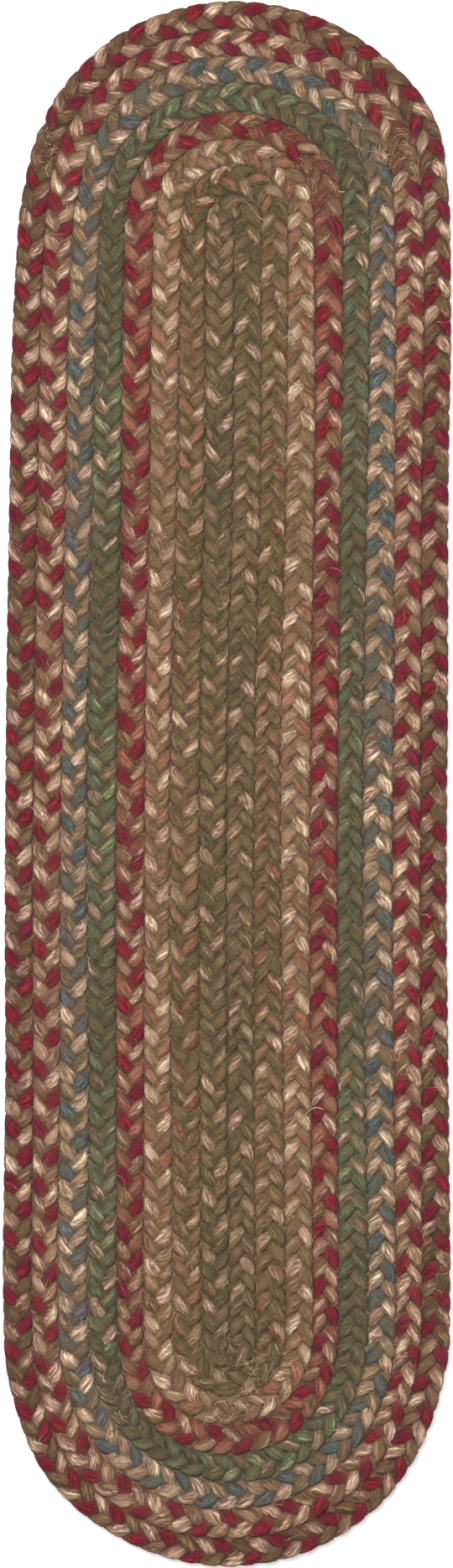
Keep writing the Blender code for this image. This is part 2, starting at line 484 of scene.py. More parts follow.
@dataclass(frozen=True)
class DyedWool:
    """Dyed carpet wool, spun loosely from heathered fibre and left hairy.

    The eye gets a soft, matt, streaky colour. Pale and dark fibres lie along each yarn at a
    slant, the dye drifts to a second hue in places, and where a yarn dips between its
    neighbours it is lost in felt with ragged edges, under painted shade that deepens with
    depth and painted light in the deepest creases.

    Lengths and widths are in millimetres and slants in radians. A wool fibre is only about
    0.03 mm thick, so fibres and hairs are drawn as wide as they need to show.
    """

    label: str
    main: str
    dark: str
    pale: str
    drift: str
    haze: float = 0.34
    butt_colour: str = "#6c5a44"
    fleck_length: float = 5.0
    fleck_width: float = 1.1
    fibre_length: float = 2.6
    fibre_width: float = 0.4
    fibre_slant: float = 0.3
    drift_length: float = 15.0
    hair_length: float = 2.4
    hair_width: float = 0.4
    hair_slants: tuple[float, float] = (0.9, -0.9)
    streak_detail: float = 1.0
    streak_waviness: float = 0.8
    # Places of the dark, the main and the pale colour among the flecks.
    fleck_stops: tuple[float, float, float] = (0.33, 0.5, 0.67)
    drifting: Stretch = Stretch(0.48, 0.62, 0.0, 0.75)
    fibre_shade: Stretch = Stretch(0.3, 0.7, 0.93, 1.07)
    fibre_roughness: Stretch = Stretch(0.3, 0.7, 0.84, 0.98)
    # The felt's ragged edge moves up and down by this much, in millimetres.
    raggedness: Stretch = Stretch(0.35, 0.7, -0.8, 0.8)
    # Heights over or under the middle of the rug's thickness, in millimetres, and what they
    # make of the share of felt, of the painted shade in the dips, and of the painted light in
    # the deepest creases.
    middle: float = 4.5
    felt_share: Stretch = Stretch(1.9, 4.1, 0.5, 0.0)
    painted_dip_shade: Stretch = Stretch(1.9, 4.1, 0.66, 1.0)
    painted_crease_light: Stretch = Stretch(0.8, 2.3, 1.4, 1.0)
    hair_range: tuple[float, float] = (0.45, 0.75)
    hair_light: float = 1.35
    bump_strength: float = 0.42
    bump_height: float = 0.25
    sheen: float = 0.05
    sheen_roughness: float = 0.5
    specular: float = 0.2

    def material(self) -> bpy.types.Material:
        """The wool's material, made once and shared by every yarn of that dye.

        Returns:
            The material.
        """
        name = f"wool_{self.label}"
        found = bpy.data.materials.get(name)
        if found:
            return found
        material = bare_material(name)
        tree = material.node_tree
        lay = add_node(tree, "ShaderNodeUVMap", uv_map=LAY_MAP).outputs["UV"]
        place = add_node(tree, "ShaderNodeTexCoord").outputs["Object"]
        flat = add_node(tree, "ShaderNodeVectorMath", {0: place, "Scale": 1.0 / MM},
                        operation="SCALE").outputs["Vector"]
        fleck = self.streaks(tree, lay, self.fleck_length, self.fleck_width, self.fibre_slant)
        fibre = self.streaks(tree, lay, self.fibre_length, self.fibre_width, self.fibre_slant)
        wool = self.wool_colour(tree, lay, fleck, fibre)
        rough = add_node(tree, "ShaderNodeMapRange", self.fibre_roughness.inputs(fibre))
        relief = add_node(tree, "ShaderNodeMath", {0: fleck, 1: fibre}, operation="ADD")
        bump = add_node(tree, "ShaderNodeBump", {
            "Strength": self.bump_strength, "Distance": self.bump_height * MM,
            "Height": relief.outputs[0],
        })
        shader = add_node(tree, "ShaderNodeBsdfPrincipled", {
            "Base Color": self.felted_with_painted_shade_and_light(tree, flat, wool, self.hairs(tree, flat)),
            "Roughness": rough.outputs["Result"],
            "Normal": bump.outputs["Normal"],
            "Sheen Weight": self.sheen,
            "Sheen Roughness": self.sheen_roughness,
            "Specular IOR Level": self.specular,
        })
        add_node(tree, "ShaderNodeOutputMaterial", {"Surface": shader.outputs["BSDF"]})
        return material

    def streaks(
        self, tree: bpy.types.NodeTree, place: bpy.types.NodeSocket,
        length: float, width: float, slant: float
    ) -> bpy.types.NodeSocket:
        """Noise drawn out in one direction.

        Args:
            tree: The node tree.
            place: Where the noise is read.
            length: A streak's length, in the units of the place.
            width: A streak's width.
            slant: How far the streaks are turned from the first axis.

        Returns:
            The noise, from 0 to 1.
        """
        turned = add_node(tree, "ShaderNodeMapping", {
            "Vector": place,
            "Rotation": (0.0, 0.0, slant),
            "Scale": (length, width, 1.0),
        }, vector_type="TEXTURE")
        noise = add_node(tree, "ShaderNodeTexNoise", {
            "Vector": turned.outputs["Vector"], "Scale": 1.0,
            "Detail": self.streak_detail, "Distortion": self.streak_waviness,
        }, noise_dimensions="2D")
        return noise.outputs["Fac"]

    def wool_colour(
        self, tree: bpy.types.NodeTree, lay: bpy.types.NodeSocket,
        fleck: bpy.types.NodeSocket, fibre: bpy.types.NodeSocket
    ) -> bpy.types.NodeSocket:
        """Heathered colour by flecks, drifting along the yarn, with painted light and shade,
        dulled.

        Args:
            tree: The node tree.
            lay: Place on the yarn, in millimetres along it and round it.
            fleck: Broad streaks.
            fibre: Fine streaks.

        Returns:
            The colour's output socket.
        """
        ramp = add_node(tree, "ShaderNodeValToRGB", {"Fac": fleck})
        stops = ramp.color_ramp.elements
        dark_at, main_at, pale_at = self.fleck_stops
        stops[0].position, stops[0].color = dark_at, linear(self.dark)
        stops[1].position, stops[1].color = pale_at, linear(self.pale)
        stops.new(main_at).color = linear(self.main)
        along = self.streaks(tree, lay, self.drift_length, self.drift_length, 0.0)
        drift = add_node(tree, "ShaderNodeMapRange", self.drifting.inputs(along))
        drifted = add_node(tree, "ShaderNodeMix", {
            "Factor": drift.outputs["Result"], "A": ramp.outputs["Color"],
            "B": linear(self.drift),
        }, data_type="RGBA")
        streaky = add_node(tree, "ShaderNodeMapRange", self.fibre_shade.inputs(fibre))
        # Each point's tone, with painted light and shade: on the plies' ridges and grooves,
        # towards the seams, on the deep ground and on the hairs.
        shade = add_node(tree, "ShaderNodeAttribute", attribute_name=PAINTED_LIGHT_AND_TONE)
        level = add_node(tree, "ShaderNodeMath", {
            0: streaky.outputs["Result"], 1: shade.outputs["Fac"],
        }, operation="MULTIPLY")
        lit = add_node(tree, "ShaderNodeVectorMath", {
            0: drifted.outputs["Result"], "Scale": level.outputs[0],
        }, operation="SCALE")
        butt = add_node(tree, "ShaderNodeAttribute", attribute_name=BUTT)
        dulled = add_node(tree, "ShaderNodeMix", {
            "Factor": butt.outputs["Fac"], "A": lit.outputs["Vector"],
            "B": linear(self.butt_colour),
        }, data_type="RGBA")
        return dulled.outputs["Result"]

    def hairs(
        self, tree: bpy.types.NodeTree, flat: bpy.types.NodeSocket
    ) -> bpy.types.NodeSocket:
        """Fine hairs that cross over the plait in two directions, whatever lies below.

        Args:
            tree: The node tree.
            flat: Place in the rug, in millimetres.

        Returns:
            How thickly the hairs lie, from 0 to 1.
        """
        crossing = [
            self.streaks(tree, flat, self.hair_length, self.hair_width, slant)
            for slant in self.hair_slants
        ]
        return add_node(tree, "ShaderNodeMath", dict(enumerate(crossing)),
                        operation="MAXIMUM").outputs[0]

    def felted_with_painted_shade_and_light(
        self, tree: bpy.types.NodeTree, flat: bpy.types.NodeSocket,
        wool: bpy.types.NodeSocket, hairs: bpy.types.NodeSocket
    ) -> bpy.types.NodeSocket:
        """Lose the wool in felt and painted shade where it dips, and lay a haze of hairs over it.

        Depth under the nearer face, moved a little by the hairs so that the felt's edge is
        ragged, sets how much of the ring's felt colour is mixed in. Depth also darkens it as
        painted shade, and in the deepest creases it is lightened again as painted light, so
        that no dark line of shadow is drawn there.

        Args:
            tree: The node tree.
            flat: Place in the rug, in millimetres.
            wool: The wool's own colour.
            hairs: How thickly the hairs lie.

        Returns:
            The colour's output socket.
        """
        height = add_node(tree, "ShaderNodeSeparateXYZ", {0: flat})
        over = add_node(tree, "ShaderNodeMath", {
            0: height.outputs["Z"], 1: self.middle,
        }, operation="SUBTRACT")
        size = add_node(tree, "ShaderNodeMath", {0: over.outputs[0]}, operation="ABSOLUTE")
        edge = add_node(tree, "ShaderNodeMapRange", self.raggedness.inputs(hairs))
        ragged = add_node(tree, "ShaderNodeMath", {
            0: edge.outputs["Result"], 1: size.outputs[0],
        }, operation="ADD")
        # dip is the share of felt; shade is painted shade, deeper with depth; lift is painted
        # light in the deepest creases.
        dip, shade, lift = (
            add_node(tree, "ShaderNodeMapRange", stretch.inputs(depth.outputs[0]),
                     interpolation_type="SMOOTHSTEP").outputs["Result"]
            for stretch, depth in (
                (self.felt_share, ragged), (self.painted_dip_shade, size), (self.painted_crease_light, size))
        )
        felt = add_node(tree, "ShaderNodeAttribute", attribute_name=FELT).outputs["Color"]
        sunk = add_node(tree, "ShaderNodeMix", {
            "Factor": dip, "A": wool, "B": felt,
        }, data_type="RGBA")
        # Painted shade in the dips times painted light in the deepest creases.
        light = add_node(tree, "ShaderNodeMath", {0: shade, 1: lift}, operation="MULTIPLY")
        shaded = add_node(tree, "ShaderNodeVectorMath", {
            0: sunk.outputs["Result"], "Scale": light.outputs[0],
        }, operation="SCALE")
        hazy = add_node(tree, "ShaderNodeMapRange",
                        Stretch(*self.hair_range, 0.0, self.haze).inputs(hairs))
        worn = add_node(tree, "ShaderNodeAttribute", attribute_name=HAZE)
        cover = add_node(tree, "ShaderNodeMath", {
            0: hazy.outputs["Result"], 1: worn.outputs["Fac"],
        }, operation="MULTIPLY")
        hair = add_node(tree, "ShaderNodeVectorMath", {
            0: felt, "Scale": self.hair_light,
        }, operation="SCALE")
        hazed = add_node(tree, "ShaderNodeMix", {
            "Factor": cover.outputs[0], "A": shaded.outputs["Vector"],
            "B": hair.outputs["Vector"],
        }, data_type="RGBA")
        return hazed.outputs["Result"]


class Dye(Enum):
    """The wools in the rug: main colour, dark and pale fibres, and what the dye drifts to."""

    CRIMSON = DyedWool("crimson", "#7b1625", "#5c0b19", "#932336", "#69122c", haze=0.15)
    WINE = DyedWool("wine", "#6b152b", "#4e0a1f", "#822440", "#791729", haze=0.15)
    CREAM = DyedWool("cream", "#c4a384", "#866c51", "#fce8c7", "#b08b72")
    PINK_TAN = DyedWool("pink_tan", "#a4816e", "#735445", "#e5c1ac", "#8d755a")
    TAN = DyedWool("tan", "#a28167", "#71543f", "#dfbda2", "#8e7255")
    TAUPE = DyedWool("taupe", "#765a45", "#533e2d", "#a2846e", "#6d583c")
    OLIVE = DyedWool("olive", "#695539", "#4e3e29", "#897355", "#715742")
    DARK_OLIVE = DyedWool("dark_olive", "#4f452d", "#393220", "#6b5d42", "#605136")
    GREEN = DyedWool("green", "#565b43", "#424932", "#6e7758", "#665c43")
    PALE_GREEN = DyedWool("pale_green", "#80805b", "#585a3d", "#aba986", "#7c6a4f")
    TEAL = DyedWool("teal", "#425253", "#2e3a3d", "#5d6f6e", "#5b5746")
    SLATE = DyedWool("slate", "#565259", "#3e3a3e", "#736d73", "#5d533e")
    RUST = DyedWool("rust", "#915744", "#744430", "#ac7662", "#8b6952")
    BRICK = DyedWool("brick", "#763d34", "#5b2e27", "#94635a", "#7a5843", haze=0.3)
    GOLD = DyedWool("gold", "#9c7756", "#785a3f", "#b99676", "#8c7661")


ALL_DYES = list(Dye)


@dataclass(frozen=True)
class RingPlan:
    """One ring: its three strands in the order they are met along it, and how it is worked.

    The marks say where stitches of the first strand lie in the outer column: how many repeats
    of the plait a stitch is from the first mark, and its height along the rug, on each side.
    The butt is where the ring's ends meet. The felting says how far wear has matted the wool,
    from 0 to 1, and the felt what colour the matted fibre between the stitches has.
    """

    number: int
    strands: tuple[tuple[Dye, Dye, Dye, Dye], ...]
    left_marks: tuple[tuple[int, float], ...]
    right_marks: tuple[tuple[int, float], ...]
    butt_x: float
    butt_y: float
    felting: float
    felt: str

    def strand_dyes(self, dyes: list[Dye]) -> np.ndarray:
        """The number of each yarn's wool in a list of wools, by strand and yarn."""
        return np.array([[dyes.index(dye) for dye in yarns] for yarns in self.strands])


PLANS = (
    RingPlan(0, (
        (Dye.TAN, Dye.PINK_TAN, Dye.OLIVE, Dye.TAN),
        (Dye.OLIVE, Dye.DARK_OLIVE, Dye.TAUPE, Dye.OLIVE),
        (Dye.OLIVE, Dye.DARK_OLIVE, Dye.OLIVE, Dye.TAUPE),
    ), ((0, 203.1), (8, -8.8), (16, -213.4)),
        ((0, 196.6), (8, -8.4), (16, -218.7)), -4.0, -258.0, 0.6, "#7c6a4e"),
    RingPlan(1, (
        (Dye.TAN, Dye.PINK_TAN, Dye.TAN, Dye.BRICK),
        (Dye.TAUPE, Dye.OLIVE, Dye.DARK_OLIVE, Dye.OLIVE),
        (Dye.OLIVE, Dye.RUST, Dye.DARK_OLIVE, Dye.TAUPE),
    ), ((0, 230.9), (9, 3.0), (18, -237.0)),
        ((0, 219.5), (9, -13.3), (17, -221.7)), 18.0, -268.0, 0.5, "#86704f"),
    RingPlan(2, (
        (Dye.CREAM, Dye.CREAM, Dye.PINK_TAN, Dye.CREAM),
        (Dye.RUST, Dye.RUST, Dye.TAUPE, Dye.OLIVE),
        (Dye.TAN, Dye.OLIVE, Dye.TAUPE, Dye.GOLD),
    ), ((0, 246.7), (9, 14.9), (18, -218.7)),
        ((0, 243.5), (9, 8.0), (18, -232.4)), 0.6, -285.0, 0.2, "#a18060"),
    RingPlan(3, (
        (Dye.CRIMSON, Dye.CRIMSON, Dye.WINE, Dye.CRIMSON),
        (Dye.RUST, Dye.RUST, Dye.BRICK, Dye.PINK_TAN),
        (Dye.PINK_TAN, Dye.OLIVE, Dye.TAN, Dye.OLIVE),
    ), ((0, 232.6), (9, 2.3), (18, -230.1)),
        ((0, 225.6), (9, -7.2), (18, -240.8)), 43.6, 274.7, 0.2, "#9a6351"),
    RingPlan(4, (
        (Dye.GREEN, Dye.GREEN, Dye.DARK_OLIVE, Dye.GREEN),
        (Dye.PALE_GREEN, Dye.GREEN, Dye.DARK_OLIVE, Dye.GREEN),
        (Dye.TAUPE, Dye.PINK_TAN, Dye.DARK_OLIVE, Dye.DARK_OLIVE),
    ), ((0, 230.5), (9, 1.9), (18, -229.0)),
        ((0, 203.8), (9, -24.4), (17, -233.9)), -49.7, -278.9, 0.4, "#766e53"),
    RingPlan(5, (
        (Dye.TEAL, Dye.TEAL, Dye.SLATE, Dye.TEAL),
        (Dye.TAN, Dye.TAUPE, Dye.OLIVE, Dye.GOLD),
        (Dye.CREAM, Dye.PINK_TAN, Dye.CREAM, Dye.TAN),
    ), ((0, 214.5), (9, -18.5), (18, -253.4)),
        ((0, 197.7), (8, -9.1), (16, -221.4)), 63.4, 293.8, 0.0, "#8e7e69"),
    RingPlan(6, (
        (Dye.CRIMSON, Dye.CRIMSON, Dye.CRIMSON, Dye.WINE),
        (Dye.CREAM, Dye.PINK_TAN, Dye.CREAM, Dye.TAN),
        (Dye.TAN, Dye.OLIVE, Dye.PINK_TAN, Dye.TAUPE),
    ), ((0, 238.1), (9, 4.6), (18, -236.2)),
        ((0, 243.8), (9, 11.8), (18, -231.3)), 79.8, 288.0, 0.0, "#a2725e"),
    RingPlan(7, (
        (Dye.CRIMSON, Dye.CRIMSON, Dye.WINE, Dye.CRIMSON),
        (Dye.PINK_TAN, Dye.CREAM, Dye.PINK_TAN, Dye.TAUPE),
        (Dye.OLIVE, Dye.TAUPE, Dye.OLIVE, Dye.DARK_OLIVE),
    ), ((0, 247.5), (10, -3.4), (20, -257.2)),
        ((0, 234.1), (9, 3.8), (18, -233.9)), -80.2, 287.3, 0.0, "#8d5f4e"),
)


@dataclass
class WoolPiece:
    """Whole arrays of points and faces that become one finished piece of the rug.

    Points are world places in millimetres. Each array of faces holds faces with as many
    corners each, as point numbers, anticlockwise from outside. The slots give the number of
    each face's wool among the dyes. The maps give u and v of every face corner, and the marks
    a value or a colour for every point.
    """

    name: str
    points: np.ndarray
    faces: list[np.ndarray]
    dyes: list[Dye]
    slots: np.ndarray
    maps: dict[str, np.ndarray]
    marks: dict[str, np.ndarray]

    def build(self) -> bpy.types.Object:
        """Make the piece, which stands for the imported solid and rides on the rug's body.

        Returns:
            The piece, linked to the scene.
        """
        mesh = bpy.data.meshes.new(self.name)
        mesh.vertices.add(len(self.points))
        mesh.vertices.foreach_set("co", (self.points * MM).astype(np.float32).ravel())
        self.fill_faces(mesh)
        for label, places in self.maps.items():
            layer = mesh.uv_layers.new(name=label)
            layer.data.foreach_set("uv", places.astype(np.float32).ravel())
        for label, values in self.marks.items():
            kind, value_name = (
                ("FLOAT", "value") if values.ndim == 1 else ("FLOAT_COLOR", "color"))
            attribute = mesh.attributes.new(label, kind, "POINT")
            attribute.data.foreach_set(value_name, values.astype(np.float32).ravel())
        mesh.shade_smooth()
        piece = bpy.data.objects.new(self.name, mesh)
        bpy.context.scene.collection.objects.link(piece)
        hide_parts(NODE)
        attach(piece, BODY)
        return piece

    def fill_faces(self, mesh: bpy.types.Mesh) -> None:
        """Put the faces and their wools into the mesh.

        Args:
            mesh: The mesh, which has its points.
        """
        corners = np.concatenate([part.ravel() for part in self.faces])
        sizes = np.concatenate([np.full(len(part), part.shape[1]) for part in self.faces])
        starts = np.concatenate([[0], np.cumsum(sizes)[:-1]])
        mesh.loops.add(len(corners))
        mesh.loops.foreach_set("vertex_index", corners.astype(np.int32))
        mesh.polygons.add(len(sizes))
        mesh.polygons.foreach_set("loop_start", starts.astype(np.int32))
        for dye in self.dyes:
            mesh.materials.append(dye.value.material())
        mesh.polygons.foreach_set("material_index", self.slots.astype(np.int32))
        mesh.update(calc_edges=True)
        mesh.validate()


@dataclass
class BraidedRing:
    """One closed ring of three-strand flat braid.

    A strand is a soft bundle of four yarns under one skin, with each yarn's two plies standing
    out as ridges. Sizes are in millimetres, and what varies by chance is given as a share or a
    size for a spread of 1.
    """

    plan: RingPlan
    course: RowCourse
    seed: int = 4100
    stations_a_repeat: int = 16
    sides: int = 16
    yarns_a_strand: int = 4
    stitch_phase: float = math.radians(50.0)
    # The strands' course across the row and through its thickness.
    swing: float = 5.2
    sharpness: float = 0.1
    lift: float = 2.25
    steepness: float = 0.6
    swell: float = 0.13
    dive_delay: float = math.radians(20.0)
    felting_flattens: float = 0.3
    uneven_phase: float = 0.13
    uneven_swing: float = 0.05
    uneven_out: float = 0.16
    uneven_lift: float = 0.06
    uneven_up: float = 0.14
    # A strand's section.
    half_width: float = 3.15
    half_height: float = 2.45
    fullness: float = 0.8
    ply_relief: float = 0.13
    uneven_width: float = 0.06
    uneven_height: float = 0.05
    uneven_bulge: float = 0.05
    repeats_a_roll: float = 7.0
    roll_swing: float = 0.1
    # How far each unevenness reaches, in repeats of the plait.
    course_reach: float = 1.0 / 3.0
    girth_reach: float = 0.4
    bulge_reach: float = 0.25
    roll_reach: float = 1.5
    # The room that a row has, and how near to its walls a strand is pressed.
    free_width: float = 4.6
    wall_width: float = 6.35
    free_height: float = 3.6
    wall_gap: float = 0.03
    # Painted light and shade on the plies, painted shade towards the seams, and tone that
    # drifts from place to place.
    painted_ply_shade: float = 0.12
    uneven_shade: float = 0.12
    least_shade: float = 0.4
    seam_free: float = 4.4
    painted_seam_shade: float = 0.42
    plain_haze: float = 0.8
    # The sewn butt: how far it reaches, what it takes off the strands, and how it dulls them.
    butt_reach: float = 15.0
    butt_swing: float = 0.1
    butt_lift: float = 0.25
    butt_slim: float = 0.2
    butt_dull: float = 0.72
    uneven_dull: float = 0.25
    dull_reach: float = 0.125
    # The strips of the baked map: the gap at either side of a strip, as a share of its width,
    # and how many times more stations a strip holds than there are strips.
    bake_margin: float = 0.06
    bake_stretch: float = 7.0
    ring: RingCourse = field(init=False)
    rng: np.random.Generator = field(init=False)
    surface: np.ndarray = field(init=False)
    facing: np.ndarray = field(init=False)
    butt: np.ndarray = field(init=False)

    def __post_init__(self) -> None:
        """Measure the ring's course and seed its unevenness."""
        self.ring = RingCourse(self.course, self.plan.number)
        self.rng = np.random.default_rng(self.seed + self.plan.number)

    def uneven(self, shape: tuple[int, ...], reach: float) -> np.ndarray:
        """Smooth noise whose reach is given in repeats of the plait."""
        return smooth_noise(self.rng, shape, self.stations_a_repeat * reach)

    def phase_knots(self) -> tuple[np.ndarray, np.ndarray]:
        """The plait's phase at the plan's marks, in order round the ring.

        Down the right side and up the left it follows the marks. Round the two ends it takes
        the whole number of repeats that lies nearest to the mean pitch, so the ring closes.

        Returns:
            Lengths along the ring, the first and last a whole ring apart, and the phase at
            each, in radians.
        """
        corners = self.ring.corners()
        right = np.array(self.plan.right_marks)
        left = np.array(self.plan.left_marks)[::-1]
        right_at = corners[0] + self.along_side(right[:, 1], corners[0], corners[1], -1.0)
        left_at = corners[2] + self.along_side(left[:, 1], corners[2], corners[3], 1.0)
        right_phase = self.stitch_phase + TURN * right[:, 0]
        left_phase = self.stitch_phase + TURN * (left[0, 0] - left[:, 0])
        pitch = (right_at[-1] - right_at[0]) / (right[-1, 0] - right[0, 0])
        due = right_phase[-1] + TURN * (left_at[0] - right_at[-1]) / pitch
        left_phase = left_phase + TURN * round((due - left_phase[0]) / TURN)
        close_at = right_at[0] + self.ring.length
        due = left_phase[-1] + TURN * (close_at - left_at[-1]) / pitch
        close = right_phase[0] + TURN * round((due - right_phase[0]) / TURN)
        lengths = np.concatenate([right_at, left_at, [close_at]])
        return lengths, np.concatenate([right_phase, left_phase, [close]])

    def along_side(self, y: np.ndarray, start: float, end: float, sign: float) -> np.ndarray:
        """Lengths from a side's start to given heights along the rug.

        Args:
            y: Heights along the rug.
            start: Length along the ring where the side starts.
            end: Length along the ring where it ends.
            sign: 1 where the ring runs up the rug, -1 where it runs down.

        Returns:
            The lengths from the side's start.
        """
        low, high = self.course.lower_end, self.course.upper_end
        done = (y - low) if sign > 0.0 else (high - y)
        return done * (end - start) / (high - low)

    def butt_nearness(self, along: np.ndarray) -> np.ndarray:
        """Nearness to the sewn butt, on a smooth step from 0 at its reach to 1 at its middle.

        Args:
            along: Lengths along the ring.

        Returns:
            The nearness at each length.
        """
        half = self.ring.length / 2.0
        butt_at = self.ring.nearest(self.plan.butt_x, self.plan.butt_y)
        away = np.abs(np.mod(along - butt_at + half, self.ring.length) - half)
        near = np.clip(1.0 - away / self.butt_reach, 0.0, 1.0)
        return near * near * (3.0 - 2.0 * near)

    def strand_lines(self) -> dict[str, np.ndarray]:
        """Centre lines of the three strands in the straightened ring.

        With the plait's phase p of a strand, a third of a turn behind the strand before it,
        the strand lies swing * (sin p - sharpness * sin 3p) out from the ring's centre line:
        it crosses almost straight and turns sharply at each edge. Its height over the middle
        is lift * tanh(steepness * sin(2p - dive_delay)): it climbs over its neighbour on its
        way out, and dives just past the edge. Both are brought back to the swing and the lift
        at their largest.

        Returns:
            The arrays along, out and up, nearness to the butt, and girth as a share of the
            mean, which swells on top and shrinks below, for strand and station.
        """
        lengths, phases = self.phase_knots()
        strands = len(self.plan.strands)
        count = round((phases[-1] - phases[0]) / TURN) * self.stations_a_repeat
        phase = phases[0] + TURN * np.arange(count) / self.stations_a_repeat
        along = np.interp(phase, phases, lengths)
        butt = self.butt_nearness(along)
        noise = self.uneven((5, strands, count), self.course_reach)
        own = phase - TURN * np.arange(strands)[:, None] / strands + self.uneven_phase * noise[0]
        sweep = (np.sin(own) - self.sharpness * np.sin(3.0 * own)) / (1.0 + self.sharpness)
        swing = self.swing * (1.0 + self.uneven_swing * noise[1] - self.butt_swing * butt)
        climb = np.tanh(self.steepness * np.sin(2.0 * own - self.dive_delay))
        climb = climb / math.tanh(self.steepness)
        lift = self.lift * (1.0 - self.felting_flattens * self.plan.felting)
        lift = lift * (1.0 + self.uneven_lift * noise[3] - self.butt_lift * butt)
        return {
            "along": np.broadcast_to(along, own.shape),
            "out": swing * sweep + self.uneven_out * noise[2],
            "up": lift * climb + self.uneven_up * noise[4],
            "butt": np.broadcast_to(butt, own.shape),
            "girth": 1.0 + self.swell * np.sin(2.0 * own - self.dive_delay),
        }

    def skin_points(self, lines: dict[str, np.ndarray]) -> np.ndarray:
        """Surface points of every strand, before the ring is bent.

        Across a strand, x runs evenly from 1 to -1 over the upper skin and back along the
        lower one. The skins stand out by (1 - x * x) to the power of the strand's fullness,
        times half its height. Each second point is a groove between plies and lies a little
        deeper. The points roll slowly about the strand, so that each yarn comes up in its
        turn.

        Args:
            lines: The strands' centre lines.

        Returns:
            Points by strand, station, side and axis.
        """
        spine = np.stack([lines["along"], lines["out"], lines["up"]], axis=-1)
        ahead = np.roll(spine, -1, axis=1)
        behind = np.roll(spine, 1, axis=1)
        ahead[:, -1, 0] += self.ring.length
        behind[:, 0, 0] -= self.ring.length
        side, crown = across_and_up(ahead - behind)
        strands, count = lines["along"].shape
        noise = self.uneven((2, strands, count), self.girth_reach)
        bulge = np.swapaxes(self.uneven((strands, self.sides, count), self.bulge_reach), 1, 2)
        rolls = round(count / self.stations_a_repeat / self.repeats_a_roll)
        roll = rolls * np.arange(count) / count
        roll = roll + self.roll_swing * self.uneven((strands, count), self.roll_reach)
        share = np.mod(np.arange(self.sides) / self.sides + roll[..., None], 1.0)
        above = share < 0.5
        across = np.where(above, 1.0 - 4.0 * share, 4.0 * share - 3.0)
        self.facing = np.where(above, 1.0, -1.0)
        slim = 1.0 - self.butt_slim * lines["butt"]
        wide = self.half_width * lines["girth"] * slim * (1.0 + self.uneven_width * noise[0])
        tall = self.half_height * slim * (1.0 + self.uneven_height * noise[1])
        shape = np.maximum(1.0 - across ** 2, 0.0) ** self.fullness
        body = tall[..., None] * shape * (1.0 + self.uneven_bulge * bulge)
        stand = self.facing * (body + self.by_ply(self.ply_relief) * shape)
        return (spine[:, :, None] + side[:, :, None] * (wide[..., None] * across)[..., None]
                + crown[:, :, None] * stand[..., None])

    def by_ply(self, size: float) -> np.ndarray:
        """The size on the ridge of each ply, and minus the size in each groove."""
        return np.where(np.arange(self.sides) % 2 == 1, size, -size)

    @staticmethod
    def pressed(distance: np.ndarray, free: float, wall: float) -> np.ndarray:
        """Press whatever lies past a free distance in towards a wall, on either side.

        The part past the free distance is squeezed by a hyperbolic tangent.

        Args:
            distance: Distances from the middle.
            free: How far out nothing is pressed.
            wall: The distance that nothing passes.

        Returns:
            The distances after pressing.
        """
        size = np.abs(distance)
        over = np.maximum(size - free, 0.0)
        squeezed = (wall - free) * np.tanh(over / (wall - free))
        return np.sign(distance) * (np.minimum(size, free) + squeezed)

    def within_walls(self, local: np.ndarray) -> np.ndarray:
        """Press points of the straightened braid into the room that the row has.

        Args:
            local: Points with length along the ring, distance out and height.

        Returns:
            The points after pressing.
        """
        wall_height = self.course.thickness / 2.0 - self.wall_gap
        out = self.pressed(local[..., 1], self.free_width, self.wall_width)
        up = self.pressed(local[..., 2], self.free_height, wall_height)
        return np.stack([local[..., 0], out, up], axis=-1)

    def build(self) -> bpy.types.Object:
        """Build the ring as one piece of three closed strands.

        Returns:
            The finished piece.
        """
        lines = self.strand_lines()
        local = self.within_walls(self.skin_points(lines))
        self.surface = local
        self.butt = lines["butt"]
        world = self.ring.place(local[..., 0], local[..., 1], local[..., 2])
        strands, count, sides = world.shape[:3]
        strand, station, side = np.meshgrid(
            np.arange(strands), np.arange(count), np.arange(sides), indexing="ij")

        def number(step: int, turn: int) -> np.ndarray:
            """Point numbers so many stations on, and so many sides round, from each face."""
            return (strand * count + (station + step) % count) * sides + (side + turn) % sides

        quads = np.stack([number(0, 0), number(0, 1), number(1, 1), number(1, 0)], axis=-1)
        dyes = sorted({dye for yarns in self.plan.strands for dye in yarns},
                      key=lambda dye: dye.name)
        yarn = side * self.yarns_a_strand // sides
        maps = {
            LAY_MAP: self.lay_map(lines, strand, station, side),
            BAKE_MAP: self.bake_map(strand * count + station, side, strands * count),
        }
        points = world.size // 3
        marks = {
            PAINTED_LIGHT_AND_TONE: self.tones_and_painted_light(local),
            BUTT: self.butt_marks(),
            HAZE: np.full(points, self.plain_haze + self.plan.felting),
            FELT: np.broadcast_to(linear(self.plan.felt), (points, 4)),
        }
        return WoolPiece(
            f"braid_ring_{self.plan.number + 1}", world.reshape(-1, 3), [quads.reshape(-1, 4)],
            dyes, self.plan.strand_dyes(dyes)[strand, yarn].ravel(), maps, marks).build()

